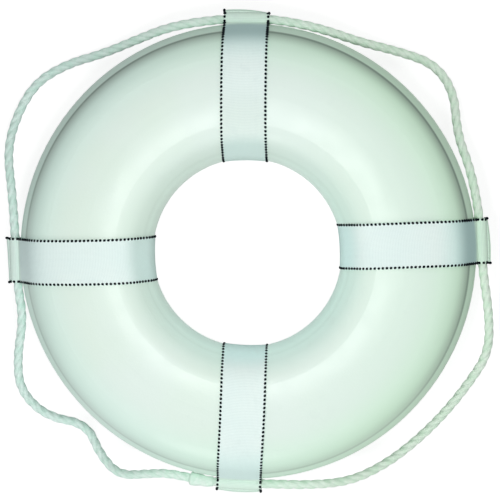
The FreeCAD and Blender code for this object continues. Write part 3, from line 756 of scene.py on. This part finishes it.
def web_mesh(name, becket, seed):
    profile = web_profile()
    verts, faces, uvs = [], [], []
    for step, distance in zip(becket.steps, becket.along):
        wave = WAVE_SIZE * noise.noise(Vector((distance / WAVE_RUN, seed, 0.0)))
        for across, depth in profile:
            spot = Vector((distance / RIPPLE_RUN[0], across / RIPPLE_RUN[1], seed + 5.0))
            lift = RIPPLE_SIZE * max(0.0, noise.noise(spot))
            verts.append(becket.place(step, across + wave, depth + lift))
            uvs.append((across * MM, distance * MM))
    count = len(profile)
    for ring in range(len(becket.steps) - 1):
        for number in range(count):
            following = (number + 1) % count
            faces.append((ring * count + number, ring * count + following,
                          (ring + 1) * count + following, (ring + 1) * count + number))
    last = (len(becket.steps) - 1) * count
    faces.append(tuple(range(count - 1, -1, -1)))
    faces.append(tuple(range(last, last + count)))
    made = mesh_object(name, verts, faces, uvs)
    made.data.materials.append(WEBBING)
    return made


BEAD_RINGS = 3
BEAD_SIDES = 10
BEAD_SINK = 0.35


def bead(verts, faces, frame_here, half_long, half_wide, rise):
    """A rounded bump of thread standing on a surface, with its foot a little inside it."""
    rings, sides = BEAD_RINGS, BEAD_SIDES
    here, along, aside, out = frame_here
    top = len(verts)
    verts.append(here + out * rise)
    for ring in range(1, rings + 1):
        slope = math.pi / 2 * ring / rings
        for number in range(sides):
            turn = math.tau * number / sides
            verts.append(here + along * (half_long * math.sin(slope) * math.cos(turn))
                         + aside * (half_wide * math.sin(slope) * math.sin(turn))
                         + out * (rise * ((1 + BEAD_SINK) * math.cos(slope) - BEAD_SINK)))
    for number in range(sides):
        following = (number + 1) % sides
        faces.append((top, top + 1 + number, top + 1 + following))
        for ring in range(rings - 1):
            low = top + 1 + ring * sides
            faces.append((low + number, low + sides + number, low + sides + following, low + following))
    floor = top + 1 + (rings - 1) * sides
    faces.append(tuple(floor + number for number in range(sides - 1, -1, -1)))


# Sizes of a dash or knot are half its length, half its width and its height.
TRACER_PLACE = 23.9
TRACER_PITCH = 4.4
TRACER_START = 5.6
TRACER_STOP = 5.0
DASH_SIZE = (1.7, 1.55, 0.9)
DASH_LONGER = 1.2
DASH_WIDER = 0.5
DASH_STEEP = (0.15, 0.6)
DASH_OUTSIDE = (180.0, 230.0)
END_DASHES = 3
END_DASH_SIZE = (1.3, 1.2, 0.4)
END_DASH_PITCH = 1.6
END_DASH_STARTS = (1.0, 4.2)
KNOT_SIZE = (1.7, 1.6, 1.9)
KNOT_PLACE = WEB_HALF - 0.9
KNOT_INSET = 0.3


def tracer_mesh(name, becket):
    """Dashes of dark tracer yarn along both edges, drawn together at the tab's corners."""
    verts, faces = [], []
    for edge in (-1, 1):
        across = edge * TRACER_PLACE
        distance = TRACER_START
        while distance < becket.length - TRACER_STOP:
            here = becket.frame(distance, across, WEB_FACE)
            steep = becket.shape["yarn"] * smoothstep(*DASH_STEEP, 1.0 - abs(here[3].z))
            spread = steep * smoothstep(*DASH_OUTSIDE, becket.at(distance)[0])
            long, wide, high = DASH_SIZE
            bead(verts, faces, here, long + DASH_LONGER * steep, wide + DASH_WIDER * spread, high)
            distance += TRACER_PITCH
        for start in (END_DASH_STARTS[0], becket.length - END_DASH_STARTS[1]):
            for number in range(END_DASHES):
                here = becket.frame(start + END_DASH_PITCH * number, across, WEB_FACE)
                bead(verts, faces, here, *END_DASH_SIZE)
        for distance in (becket.length - KNOT_INSET, KNOT_INSET):
            bead(verts, faces, becket.frame(distance, edge * KNOT_PLACE, -WEB_FACE), *KNOT_SIZE)
    made = mesh_object(name, verts, faces)
    made.data.materials.append(TRACER)
    return made


STITCH_PITCH = 3.3
STITCH_HALF_ROW = 22.5
STITCH_SIZE = (1.35, 0.36, 0.24)
STITCH_PLACES = (2.4, 3.9)


def stitch_mesh(name, becket):
    """A row of pale stitches through the tab, on both of its faces."""
    verts, faces = [], []
    count = int(2 * STITCH_HALF_ROW / STITCH_PITCH)
    for distance in (STITCH_PLACES[0], becket.length - STITCH_PLACES[1]):
        for number in range(count):
            across = -STITCH_HALF_ROW + STITCH_PITCH * (number + 0.5)
            here, along, aside, out = becket.frame(distance, across, WEB_FACE)
            bead(verts, faces, (here, aside, along, out), *STITCH_SIZE)
    made = mesh_object(name, verts, faces)
    made.data.materials.append(STITCH)
    return made


for seed, (side, shape) in enumerate(BECKETS.items()):
    becket = Becket(shape)
    web = web_mesh("becket_" + side, becket, SEED_STEP * seed)
    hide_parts("strap_" + side)
    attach(web, ROOT)
    tracer = tracer_mesh("becket_%s_tracer" % side, becket)
    stitches = stitch_mesh("becket_%s_stitches" % side, becket)
    for extra in (tracer, stitches):
        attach(extra, ROOT)
    print("becket", side, "webbing length %.0f mm" % becket.length)


# Ring
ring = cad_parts["ring_body"]
for ring_slot in ring.material_slots:
    ring_slot.material = VINYL


# Floor, light and background
FLOOR_HALF = 6.0
FLOOR_SHADE = 0.42
FLOOR_GLOW = 0.78
SKY = 0.50
LAMP_TARGET = Vector((0.0, 0.0, 0.05))

# place in metres, size of the disc in metres, power in watts
LAMPS = {
    "overhead": ((0.0, -0.01, 0.70), 0.20, 1.60),
    "near_side": ((-0.20, -1.13, 0.72), 0.60, 3.9),
    "far_side": ((0.60, 1.00, 0.72), 0.60, 1.6),
}


def seen_ray(tree):
    """1 for rays that show the background, straight or in a reflection."""
    path = tree.nodes.new("ShaderNodeLightPath")
    most = path.outputs["Is Camera Ray"]
    for name in ("Is Glossy Ray", "Is Transmission Ray"):
        node = tree.nodes.new("ShaderNodeMath")
        node.operation = "MAXIMUM"
        tree.links.new(most, node.inputs[0])
        tree.links.new(path.outputs[name], node.inputs[1])
        most = node.outputs[0]
    return most


def scaled(tree, value, factor, base=0.0):
    node = tree.nodes.new("ShaderNodeMath")
    node.operation = "MULTIPLY_ADD"
    tree.links.new(value, node.inputs[0])
    node.inputs[1].default_value = factor
    node.inputs[2].default_value = base
    return node.outputs[0]


def make_floor():
    size = FLOOR_HALF
    corners = [(-size, -size, 0), (size, -size, 0), (size, size, 0), (-size, size, 0)]
    mesh = bpy.data.meshes.new("floor")
    mesh.from_pydata(corners, [], [(0, 1, 2, 3)])
    floor = new_object("floor", mesh)
    material = bpy.data.materials.new("pale_floor")
    material.use_nodes = True
    tree = material.node_tree
    tree.nodes.clear()
    output = tree.nodes.new("ShaderNodeOutputMaterial")
    diffuse = tree.nodes.new("ShaderNodeBsdfDiffuse")
    diffuse.inputs["Color"].default_value = (FLOOR_SHADE, FLOOR_SHADE, FLOOR_SHADE, 1.0)
    glow = tree.nodes.new("ShaderNodeEmission")
    tree.links.new(scaled(tree, seen_ray(tree), FLOOR_GLOW), glow.inputs["Strength"])
    both = tree.nodes.new("ShaderNodeAddShader")
    tree.links.new(diffuse.outputs[0], both.inputs[0])
    tree.links.new(glow.outputs[0], both.inputs[1])
    tree.links.new(both.outputs[0], output.inputs["Surface"])
    mesh.materials.append(material)


def make_world():
    world = bpy.data.worlds.new("studio")
    scene.world = world
    world.use_nodes = True
    tree = world.node_tree
    background = tree.nodes["Background"]
    background.inputs["Color"].default_value = (1.0, 1.0, 1.0, 1.0)
    tree.links.new(scaled(tree, seen_ray(tree), 1.0 - SKY, SKY), background.inputs["Strength"])


def make_lamp(name, place, size, power):
    data = bpy.data.lights.new(name, "AREA")
    data.shape = "DISK"
    data.size = size
    data.energy = power
    lamp = new_object(name, data)
    lamp.location = place
    lamp.rotation_mode = "QUATERNION"
    lamp.rotation_quaternion = (LAMP_TARGET - Vector(place)).to_track_quat("-Z", "Y")
    lamp.visible_camera = False


make_floor()
make_world()
for lamp_name, (lamp_place, lamp_size, lamp_power) in LAMPS.items():
    make_lamp(lamp_name, lamp_place, lamp_size, lamp_power)
